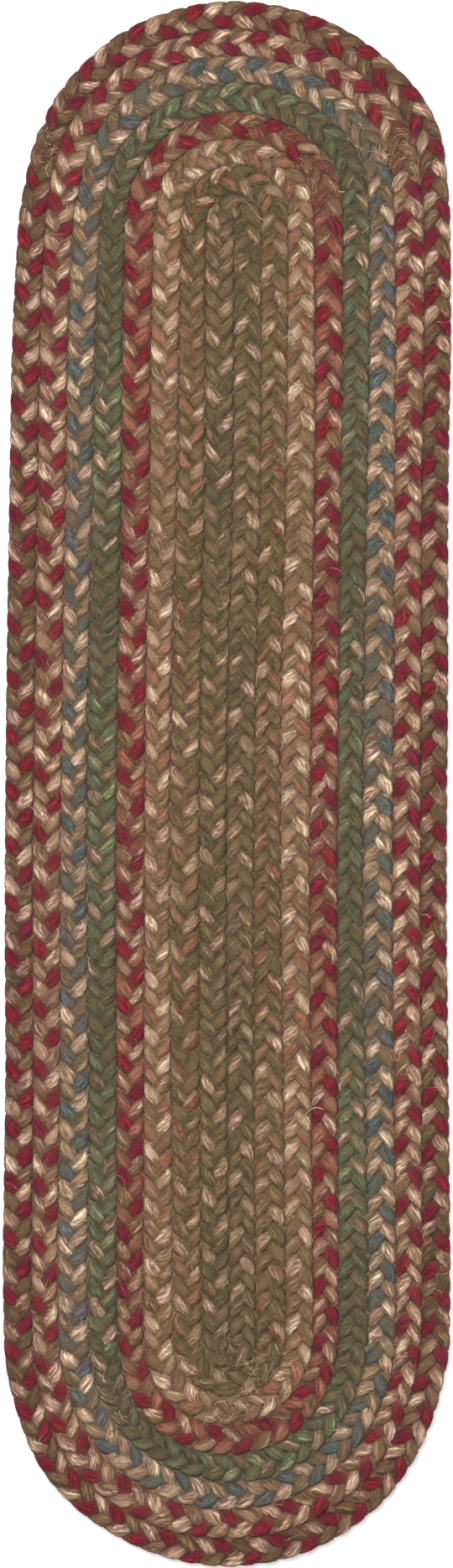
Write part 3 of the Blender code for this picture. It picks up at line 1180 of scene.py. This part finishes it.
    def lay_map(
        self, lines: dict[str, np.ndarray],
        strand: np.ndarray, station: np.ndarray, side: np.ndarray
    ) -> np.ndarray:
        """Place on the yarn for every face corner, in millimetres along it and round it.

        Args:
            lines: The strands' centre lines.
            strand: Each face's strand.
            station: Each face's station.
            side: Each face's side.

        Returns:
            u and v for the four corners of each face.
        """
        spine = np.stack([lines["along"], lines["out"], lines["up"]], axis=-1)
        step = np.roll(spine, -1, axis=1) - spine
        step[:, -1, 0] += self.ring.length
        run = np.cumsum(np.linalg.norm(step, axis=-1), axis=1)
        run = np.concatenate([np.zeros((len(run), 1)), run], axis=1)
        offset = self.rng.uniform(0.0, LAY_START, len(run))[strand][..., None]
        u = lengthwise(run[strand, station], run[strand, station + 1])
        v = crosswise(side, side + 1) * (4.0 * self.half_width / self.sides)
        return np.stack([u + offset, v + offset], axis=-1)

    def bake_map(self, cell: np.ndarray, side: np.ndarray, cells: int) -> np.ndarray:
        """Lay all strands out in strips that fill the unit square, one above the other.

        Args:
            cell: Each face's place in the row of all stations of all strands.
            side: Each face's side.
            cells: How many stations there are in all.

        Returns:
            u and v for the four corners of each face.
        """
        columns = math.ceil(math.sqrt(cells * self.bake_stretch))
        strips = math.ceil(cells / columns)
        column, strip = cell % columns, cell // columns
        room = (1.0 - 2.0 * self.bake_margin) / self.sides
        u = lengthwise(column, column + 1) / columns
        v = crosswise(side, side + 1) * room + self.bake_margin
        return np.stack([u, (strip[..., None] + v) / strips], axis=-1)

    def tones_and_painted_light(self, local: np.ndarray) -> np.ndarray:
        """How light each point is: tone drifting from stitch to stitch, and painted light and
        shade.

        Args:
            local: Points with length along the ring, distance out and height.

        Returns:
            A factor near 1 for every point, lower in the grooves between plies and, by the
            square of its nearness, towards the seams between rows, as painted shade, and higher on
            the plies' ridges as painted light.
        """
        strands, count = local.shape[:2]
        noise = self.uneven((strands, self.sides, count), self.bulge_reach)
        # Random tone, plus painted light on the plies' ridges and painted shade in their grooves.
        shade = 1.0 + self.uneven_shade * noise + self.by_ply(self.painted_ply_shade)[:, None]
        # Painted shade that deepens towards the seams between rows.
        seam = (np.abs(local[..., 1]) - self.seam_free) / (self.wall_width - self.seam_free)
        dim = 1.0 - self.painted_seam_shade * np.clip(seam, 0.0, 1.0) ** 2
        return (np.swapaxes(np.maximum(shade, self.least_shade), 1, 2) * dim).ravel()

    def butt_marks(self) -> np.ndarray:
        """How much the sewn butt dulls each point: the root of its nearness, unevenly.

        Returns:
            The share, from 0 to 1, by strand, station and side.
        """
        strands, count = self.butt.shape
        noise = self.uneven((strands, self.sides, count), self.dull_reach)
        dull = self.butt_dull + self.uneven_dull * np.swapaxes(noise, 1, 2)
        return (np.sqrt(self.butt)[:, :, None] * np.clip(dull, 0.0, 1.0)).ravel()


@dataclass(kw_only=True)
class FibreTubes:
    """Thin closed tubes of wool that make one piece. Sizes are in millimetres."""

    name: str
    joints: int = 3
    sides: int = 3
    # Tubes are drawn this many times lighter: loose hair is paler, and painted light lifts the
    # shade round thin tubes.
    paleness_and_painted_light: float = 1.35
    seed: int = 5200
    # A tube's own cell of the unit square: where its sides start, the room they take, and the
    # corners of its two ends.
    bake_start: tuple[float, float] = (0.14, 0.05)
    bake_room: tuple[float, float] = (0.72, 0.9)
    bake_ends: tuple = (
        ((0.02, 0.2), (0.02, 0.8), (0.1, 0.5)),
        ((0.9, 0.5), (0.98, 0.2), (0.98, 0.8)),
    )

    def piece(
        self, rng: np.random.Generator, points: np.ndarray, length: np.ndarray,
        dye: np.ndarray, felt: np.ndarray
    ) -> bpy.types.Object:
        """Make the piece out of the surface points of its tubes.

        Args:
            rng: The seeded source of chance.
            points: World points by tube, joint, side and axis.
            length: Each tube's length.
            dye: The number of each tube's wool among all wools.
            felt: The felt's colour round each tube.

        Returns:
            The finished piece.
        """
        slots = np.concatenate([
            np.repeat(dye, (self.joints - 1) * self.sides), np.repeat(dye, len(self.bake_ends))])
        plain = np.ones(points.size // 3)
        marks = {
            PAINTED_LIGHT_AND_TONE: plain * self.paleness_and_painted_light, BUTT: plain * 0.0, HAZE: plain * 0.0,
            FELT: np.repeat(felt, self.joints * self.sides, axis=0),
        }
        return WoolPiece(
            self.name, points.reshape(-1, 3), self.faces(len(points)), ALL_DYES, slots,
            self.maps(rng, length), marks).build()

    def skin(self, line: np.ndarray, radius: np.ndarray) -> np.ndarray:
        """Points on a circle of each tube's radius, square to its line at every joint.

        Args:
            line: Points by tube, joint and axis.
            radius: Each tube's radius.

        Returns:
            Points by tube, joint, side and axis.
        """
        side, crown = across_and_up(np.gradient(line, axis=1))
        angle = TURN * np.arange(self.sides) / self.sides
        thick = radius[:, None, None, None]
        return (line[:, :, None] + thick * np.cos(angle)[:, None] * side[:, :, None]
                + thick * np.sin(angle)[:, None] * crown[:, :, None])

    def cells(self, count: int) -> tuple[np.ndarray, np.ndarray, np.ndarray]:
        """The tube, the joint and the side of every face along the tubes."""
        return tuple(np.meshgrid(
            np.arange(count), np.arange(self.joints - 1), np.arange(self.sides), indexing="ij"))

    def faces(self, count: int) -> list[np.ndarray]:
        """Faces of all tubes: the sides as quads and the two ends as triangles.

        Args:
            count: How many tubes there are.

        Returns:
            The quads and the triangles.
        """
        tube, joint, side = self.cells(count)

        def number(step: int, turn: int) -> np.ndarray:
            """Point numbers so many joints on, and so many sides round, from each face."""
            return (tube * self.joints + joint + step) * self.sides + (side + turn) % self.sides

        quads = np.stack([number(0, 0), number(0, 1), number(1, 1), number(1, 0)], axis=-1)
        first = np.arange(count)[:, None] * self.joints * self.sides
        last = first + (self.joints - 1) * self.sides
        caps = np.stack([first + [[0, 2, 1]], last + [[0, 1, 2]]], axis=1)
        return [quads.reshape(-1, 4), caps.reshape(-1, 3)]

    def maps(self, rng: np.random.Generator, length: np.ndarray) -> dict[str, np.ndarray]:
        """Place on the yarn, and a cell of its own in the unit square, for every corner.

        Args:
            rng: The seeded source of chance.
            length: Each tube's length.

        Returns:
            The two UV maps.
        """
        count = len(length)
        columns = math.ceil(math.sqrt(count))
        lines = math.ceil(count / columns)
        _, joint, side = self.cells(count)
        step = self.bake_room[0] / (self.joints - 1)
        u = self.bake_start[0] + step * lengthwise(joint, joint + 1)
        v = self.bake_start[1] + self.bake_room[1] * crosswise(side, side + 1) / self.sides
        walls, ends = np.stack([u, v], axis=-1), np.array(self.bake_ends)
        cell = np.stack([np.arange(count) % columns, np.arange(count) // columns], axis=-1)
        offset = rng.uniform(0.0, LAY_START, (count, 1))
        stretch = np.stack([length, np.ones(count)], axis=-1)

        def spread(values: np.ndarray, corners: np.ndarray) -> np.ndarray:
            """Each tube's values, repeated for the corners that it shares them with."""
            return values.reshape(count, *[1] * (corners.ndim - 2), values.shape[-1])

        bake, lay = [], []
        for corners in (walls, ends[None]):
            bake.append((corners + spread(cell, corners)) / [columns, lines])
            lay.append(corners * spread(stretch, corners) + spread(offset, corners))
        return {
            LAY_MAP: np.concatenate([part.reshape(-1, 2) for part in lay]),
            BAKE_MAP: np.concatenate([part.reshape(-1, 2) for part in bake]),
        }


@dataclass(kw_only=True)
class LooseFibres(FibreTubes):
    """Hairs that stand out of the yarns and cross the creases of the plait.

    A hair is a thin three-sided tube on a shallow curve. Its bend is a share of its length,
    its rise is in millimetres and its turn in radians.
    """

    rings: list[BraidedRing]
    hairs_a_millimetre: float
    ends_a_butt: int = 0
    upper_share: float = 0.85
    shown_depth: float = 1.8
    butt_nearness: float = 0.2
    lengths: tuple[float, float] = (2.5, 5.5)
    end_lengths: tuple[float, float] = (3.0, 9.0)
    radii: tuple[float, float] = (0.06, 0.11)
    end_radii: tuple[float, float] = (0.1, 0.2)
    edge_free: float = 4.0
    edge_wall: float = 6.2
    turn_spread: float = 0.6
    bend: float = 0.15
    rise: float = 0.2
    stray_share: float = 0.04
    stray_dyes: tuple[Dye, ...] = (Dye.TAN, Dye.CREAM, Dye.OLIVE, Dye.TAUPE)

    def build(self) -> bpy.types.Object:
        """Build all hairs as one piece.

        Returns:
            The finished piece.
        """
        rng = np.random.default_rng(self.seed)
        batches = []
        for ring in self.rings:
            hairs = round(ring.ring.length * self.hairs_a_millimetre)
            batches.append(self.batch(ring, rng, hairs, False))
            if self.ends_a_butt:
                batches.append(self.batch(ring, rng, self.ends_a_butt, True))
        return self.piece(rng, *(np.concatenate(part) for part in zip(*batches)))

    def roots(
        self, ring: BraidedRing, rng: np.random.Generator, count: int, at_butt: bool
    ) -> tuple[np.ndarray, np.ndarray, np.ndarray]:
        """Choose where hairs stand: near a face, on its outer side, and mostly on the upper one.

        Args:
            ring: The ring.
            rng: The seeded source of chance.
            count: How many hairs.
            at_butt: Whether they are the frayed ends of its butt.

        Returns:
            The strand, the station and the side of each hair's root.
        """
        height = ring.surface[..., 2]
        depth = ring.course.thickness / 2.0 - np.abs(height)
        weight = np.where(height > 0.0, self.upper_share, 1.0 - self.upper_share)
        weight = weight * (height * ring.facing > 0.0)
        if at_butt:
            weight = weight * (ring.butt[..., None] > self.butt_nearness)
        weight = (weight * (depth < self.shown_depth)).ravel()
        pick = rng.choice(weight.size, count, p=weight / weight.sum())
        return np.unravel_index(pick, height.shape)

    def batch(
        self, ring: BraidedRing, rng: np.random.Generator, count: int, at_butt: bool
    ) -> tuple[np.ndarray, np.ndarray, np.ndarray, np.ndarray]:
        """Lay hairs on a ring's faces. They are laid on the straightened braid and bent with it.

        Args:
            ring: The ring.
            rng: The seeded source of chance.
            count: How many hairs.
            at_butt: Whether they are the frayed ends of its butt.

        Returns:
            World points by hair, joint, side and axis, and each hair's length, the number of
            its wool and the felt's colour round it.
        """
        strand, station, side = self.roots(ring, rng, count, at_butt)
        stations, sides = ring.surface.shape[1:3]
        root = ring.surface[strand, station, side]
        ahead = ring.surface[strand, np.minimum(station + 1, stations - 1), side]
        behind = ring.surface[strand, np.maximum(station - 1, 0), side]
        heading = np.arctan2(ahead[:, 1] - behind[:, 1], ahead[:, 0] - behind[:, 0])
        heading = heading + self.turn_spread * rng.standard_normal(count)
        lengths, radii = (
            (self.end_lengths, self.end_radii) if at_butt else (self.lengths, self.radii))
        length = rng.uniform(*lengths, count)
        radius = rng.uniform(*radii, count)
        yarn = side * ring.yarns_a_strand // sides
        own = ring.plan.strand_dyes(ALL_DYES)[strand, yarn]
        stray = np.array([ALL_DYES.index(dye) for dye in self.stray_dyes])
        is_stray = rng.uniform(size=count) < (1.0 if at_butt else self.stray_share)
        dye = np.where(is_stray, rng.choice(stray, count), own)
        points = self.tubes(rng, root, heading, length, radius)
        out = points[..., 1]
        if ring.plan.number == ring.course.rings - 1:
            out = ring.pressed(out, self.edge_free, self.edge_wall)
        felt = np.broadcast_to(linear(ring.plan.felt), (count, 4))
        return ring.ring.place(points[..., 0], out, points[..., 2]), length, dye, felt

    def tubes(
        self, rng: np.random.Generator, root: np.ndarray, heading: np.ndarray,
        length: np.ndarray, radius: np.ndarray
    ) -> np.ndarray:
        """Surface points of every hair on the straightened braid.

        With t from -1 to 1 along it, a hair runs straight along its heading by t times half
        its length, bends sideways by a share of the length times t squared, and rises off
        the wool, away from the middle, by its radius plus a little times t squared.

        Args:
            rng: The seeded source of chance.
            root: Each hair's middle.
            heading: Its heading from the ring's direction, in radians.
            length: Its length.
            radius: Its radius.

        Returns:
            Points by hair, joint, side and axis.
        """
        count = len(root)
        t = np.linspace(-1.0, 1.0, self.joints)[None, :]
        bend = (self.bend * rng.standard_normal(count) * length)[:, None] * t * t
        run = 0.5 * length[:, None] * t
        rise = radius[:, None] + self.rise * rng.uniform(size=count)[:, None] * t * t
        cos, sin = np.cos(heading)[:, None], np.sin(heading)[:, None]
        line = np.stack([
            root[:, 0, None] + run * cos - bend * sin,
            root[:, 1, None] + run * sin + bend * cos,
            root[:, 2, None] + np.sign(root[:, 2, None]) * rise,
        ], axis=-1)
        return self.skin(line, radius)


@dataclass(kw_only=True)
class StrayCurl(FibreTubes):
    """One pale end of yarn that has worked loose and lies curled over a crimson stitch."""

    name: str = "stray_curl"
    joints: int = 14
    # Drawn lighter than its wool: paler loose yarn, and painted light.
    paleness_and_painted_light: float = 1.5
    ends: tuple[tuple[float, float], tuple[float, float]] = ((36.0, -150.1), (44.4, -147.8))
    crest: tuple[float, float] = (39.0, -145.0)
    height: float = 8.9
    radius: float = 0.22
    dye: Dye = Dye.CREAM

    def build(self) -> bpy.types.Object:
        """Build the curl, which runs from end to end on a curve drawn towards its crest.

        With t from 0 to 1 along it, a point is the sum of the start times (1 - t) squared,
        the crest times 2 t (1 - t) and the end times t squared.

        Returns:
            The finished piece.
        """
        t = np.linspace(0.0, 1.0, self.joints)[:, None]
        start, end = np.array(self.ends)
        flat = start * (1.0 - t) ** 2 + np.array(self.crest) * 2.0 * t * (1.0 - t) + end * t * t
        line = np.concatenate([flat, np.full((self.joints, 1), self.height)], axis=1)
        length = np.linalg.norm(np.diff(line, axis=0), axis=1).sum()
        return self.piece(
            np.random.default_rng(self.seed), self.skin(line[None], np.array([self.radius])),
            np.array([length]), np.array([ALL_DYES.index(self.dye)]),
            np.array([linear(self.dye.value.pale)]))


@dataclass
class LacedGround:
    """The wool and the lacing thread that lie deep between the strands, darkened by painted shade.

    It is a thin ribbed sheet at the middle of the rug's thickness, inside all the braid.
    Sizes are in millimetres.
    """

    course: RowCourse
    cuts: int = 160
    points_a_row: int = 2
    seam_height: float = 0.9
    row_height: float = 0.2
    inset: float = 0.5
    # Painted shade: the ground is drawn at this share of its wool's lightness, as it lies deep.
    shade: float = 0.55
    bake_margin: float = 0.02
    weld_distance: float = 0.01

    def build(self, pieces: list[bpy.types.Object]) -> bpy.types.Object:
        """Args:
            pieces: The pieces that lie on it. Not used.

        Returns:
            The finished piece.
        """
        rows = self.rows()
        loop = self.loops(rows)
        ring = loop.shape[1]
        cut, spot = np.meshgrid(np.arange(self.cuts), np.arange(ring - 1), indexing="ij")
        after = (cut + 1) % self.cuts
        quads = np.stack([
            cut * ring + spot, cut * ring + spot + 1, after * ring + spot + 1, after * ring + spot,
        ], axis=-1).reshape(-1, 4)
        points = loop.reshape(-1, 3)
        corners = points[quads][..., :2]
        is_lower = quads.max(axis=1) % ring >= ring // 2
        maps = {LAY_MAP: corners, BAKE_MAP: self.bake_map(corners, is_lower)}
        plain = np.ones(len(points))
        # Every point of the ground carries its painted shade.
        marks = {
            PAINTED_LIGHT_AND_TONE: plain * self.shade, BUTT: plain * 0.0, HAZE: plain, FELT: self.felts(rows),
        }
        piece = WoolPiece(
            "laced_ground", points, [quads], [Dye.TAUPE], np.zeros(len(quads)), maps, marks
        ).build()
        self.close(piece)
        self.area() * MM * MM
        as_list(pieces)
        return piece

    def rows(self) -> np.ndarray:
        """Where the sheet has points, evenly out from the seam to just short of the rug's edge.

        Returns:
            Rows from the middle seam.
        """
        width = np.linalg.norm(self.course.step, axis=1).mean()
        rows = np.arange(self.course.rings * self.points_a_row + 1) / self.points_a_row
        rows[-1] -= self.inset / width
        return rows

    def loops(self, rows: np.ndarray) -> np.ndarray:
        """Points out along the sheet's upper face at each cut, and back along its lower one.

        The faces stand off the middle by the seams' height, falling to the rows' height by
        the size of the sine of half a turn a row.

        Args:
            rows: Rows from the middle seam.

        Returns:
            Points by cut, place in the loop and axis.
        """
        index = (np.arange(self.cuts) * len(self.course.seam)) // self.cuts
        shape = (self.cuts, len(rows))
        flat = self.course.at_rows(
            np.broadcast_to(rows, shape), np.broadcast_to(index[:, None], shape))
        fall = np.abs(np.sin(math.pi * rows))
        rise = self.seam_height + (self.row_height - self.seam_height) * fall
        middle = self.course.thickness / 2.0
        upper, lower = (
            np.concatenate([flat, np.broadcast_to(height, shape)[..., None]], axis=-1)
            for height in (middle + rise, middle - rise))
        return np.concatenate([upper, lower[:, ::-1]], axis=1)

    def bake_map(self, corners: np.ndarray, is_lower: np.ndarray) -> np.ndarray:
        """Lay the two faces side by side in the unit square, each squeezed into its half.

        Args:
            corners: x and y of every face corner.
            is_lower: Whether each face lies on the lower side.

        Returns:
            u and v of every face corner.
        """
        low, high = corners.min(axis=(0, 1)), corners.max(axis=(0, 1))
        share = (corners - low) / (high - low)
        room = 1.0 - 2.0 * self.bake_margin
        share[..., 0] = (share[..., 0] * room + self.bake_margin + is_lower[:, None]) / 2.0
        return share

    def felts(self, rows: np.ndarray) -> np.ndarray:
        """The felt's colour at every point, by the ring that the point lies in.

        Args:
            rows: Rows from the middle seam of the points along one face.

        Returns:
            Linear colours.
        """
        of_row = np.minimum(rows.astype(int), self.course.rings - 1)
        felts = np.array([linear(plan.felt) for plan in PLANS])[of_row]
        return np.tile(np.concatenate([felts, felts[::-1]]), (self.cuts, 1))

    def area(self) -> float:
        """The rug's flat area, as half the sum of the cross products round its edge.

        Returns:
            The area in square millimetres.
        """
        samples = len(self.course.seam)
        edge = self.course.at_rows(
            np.full(samples, float(self.course.rings)), np.arange(samples))
        ahead = np.roll(edge, -1, axis=0)
        return 0.5 * abs(float(np.sum(edge[:, 0] * ahead[:, 1] - ahead[:, 0] * edge[:, 1])))

    def close(self, piece: bpy.types.Object) -> None:
        """Weld the middle seam and the ends' centres, and point every face outwards.

        Args:
            piece: The ground's object.
        """
        mesh = bmesh.new()
        mesh.from_mesh(piece.data)
        bmesh.ops.remove_doubles(mesh, verts=mesh.verts, dist=self.weld_distance * MM)
        bmesh.ops.recalc_face_normals(mesh, faces=mesh.faces)
        mesh.to_mesh(piece.data)
        mesh.free()


@dataclass(frozen=True)
class WhiteBoard:
    """Matt white board, laid as a studio floor.

    The eye gets plain white without a shine. A faint glow of its own makes it show as white
    as the photo's ground.
    """

    colour: str = "#fbfbfa"
    roughness: float = 0.9
    glow_colour: str = "#ffffff"
    glow: float = 0.3

    def material(self) -> bpy.types.Material:
        """The board's material.

        Returns:
            The material.
        """
        material = bare_material("matt_white_board")
        tree = material.node_tree
        shader = add_node(tree, "ShaderNodeBsdfPrincipled", {
            "Base Color": linear(self.colour), "Roughness": self.roughness,
            "Emission Color": linear(self.glow_colour), "Emission Strength": self.glow,
        })
        add_node(tree, "ShaderNodeOutputMaterial", {"Surface": shader.outputs["BSDF"]})
        return material


@dataclass
class Studio:
    """A pale floor, soft light and a camera straight above, as in the photograph.

    Places and sizes are in metres, apart from the rug's length and the sensor's height, which
    are in millimetres. The heights of the picture and of the rug in it are in pixels.
    """

    frame_high: int = 1871
    rug_high: float = 1864.5
    rug_length: float = 710.6
    camera_height: float = 3.2
    sensor: float = 24.0
    # name, place, watts, width
    lamps: tuple = (
        ("key_light", (-0.3, 0.35, 2.0), 37.5, 0.9),
        ("fill_light", (0.7, -0.5, 1.7), 10.0, 1.4),
    )
    sky_colour: str = "#ffffff"
    sky_strength: float = 0.12
    floor_finish: WhiteBoard = WhiteBoard()
    floor_reach: float = 12.0
    floor_drop: float = 0.0002
    display: str = "Standard"

    def build(self) -> None:
        """Build the floor, the lights, the sky and the camera.

        The plain display curve keeps the floor white and the dyes as deep as they are.
        """
        bpy.context.scene.view_settings.view_transform = self.display
        self.build_floor()
        self.build_lights()
        self.build_sky()
        self.build_camera()

    def build_floor(self) -> None:
        """Lay the floor just under the rug."""
        far, low = self.floor_reach, -self.floor_drop
        mesh = bpy.data.meshes.new("floor")
        mesh.from_pydata(
            [(-far, -far, low), (far, -far, low), (far, far, low), (-far, far, low)],
            [], [(0, 1, 2, 3)])
        mesh.materials.append(self.floor_finish.material())
        floor = bpy.data.objects.new("floor", mesh)
        bpy.context.scene.collection.objects.link(floor)

    def build_lights(self) -> None:
        """Hang two wide soft lights over the rug, turned to face its middle."""
        for name, place, power, size in self.lamps:
            lamp = bpy.data.lights.new(name, "AREA")
            lamp.energy = power
            lamp.size = size
            light = bpy.data.objects.new(name, lamp)
            light.location = place
            x, y, z = place
            light.rotation_euler = (0.0, math.atan2(math.hypot(x, y), z), math.atan2(y, x))
            bpy.context.scene.collection.objects.link(light)

    def build_sky(self) -> None:
        """Light the room evenly with a faint white sky."""
        world = bpy.data.worlds.new("studio_sky")
        world.use_nodes = True
        backdrop = world.node_tree.nodes["Background"]
        backdrop.inputs["Color"].default_value = linear(self.sky_colour)
        backdrop.inputs["Strength"].default_value = self.sky_strength
        bpy.context.scene.world = world

    def build_camera(self) -> None:
        """Look straight down with a long lens, so that the rug fills the frame's height."""
        data = bpy.data.cameras.new("camera")
        data.sensor_fit = "VERTICAL"
        data.sensor_height = self.sensor
        view = self.frame_high * self.rug_length / self.rug_high * MM
        data.lens = self.sensor * self.camera_height / view
        camera = bpy.data.objects.new("camera", data)
        camera.location = (0.0, 0.0, self.camera_height)
        bpy.context.scene.collection.objects.link(camera)
        bpy.context.scene.camera = camera


def main() -> None:
    """Build the studio, the rings, their loose fibres and their ground."""
    Studio().build()
    course = RowCourse()
    rings = [BraidedRing(plan, course) for plan in PLANS]
    half = len(rings) // 2
    pieces = [ring.build() for ring in rings]
    pieces += [fibres.build() for fibres in (
        LooseFibres(name="fuzz_inside", rings=rings[:half], hairs_a_millimetre=1.7, seed=5300),
        LooseFibres(name="fuzz_outside", rings=rings[half:], hairs_a_millimetre=1.2, seed=5400),
        LooseFibres(
            name="loose_fibres", rings=rings, hairs_a_millimetre=0.2, ends_a_butt=50,
            lengths=(4.0, 12.0), radii=(0.07, 0.12), stray_share=0.25, bend=0.22, joints=4),
        StrayCurl(),
    )]
    pieces.append(LacedGround(course).build(pieces[:]))
    for piece in pieces:
        LOG.info("%s: %d faces", piece.name, len(piece.data.polygons))
    bpy.context.view_layer.update()
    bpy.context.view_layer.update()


if __name__ == "__main__":
    main()
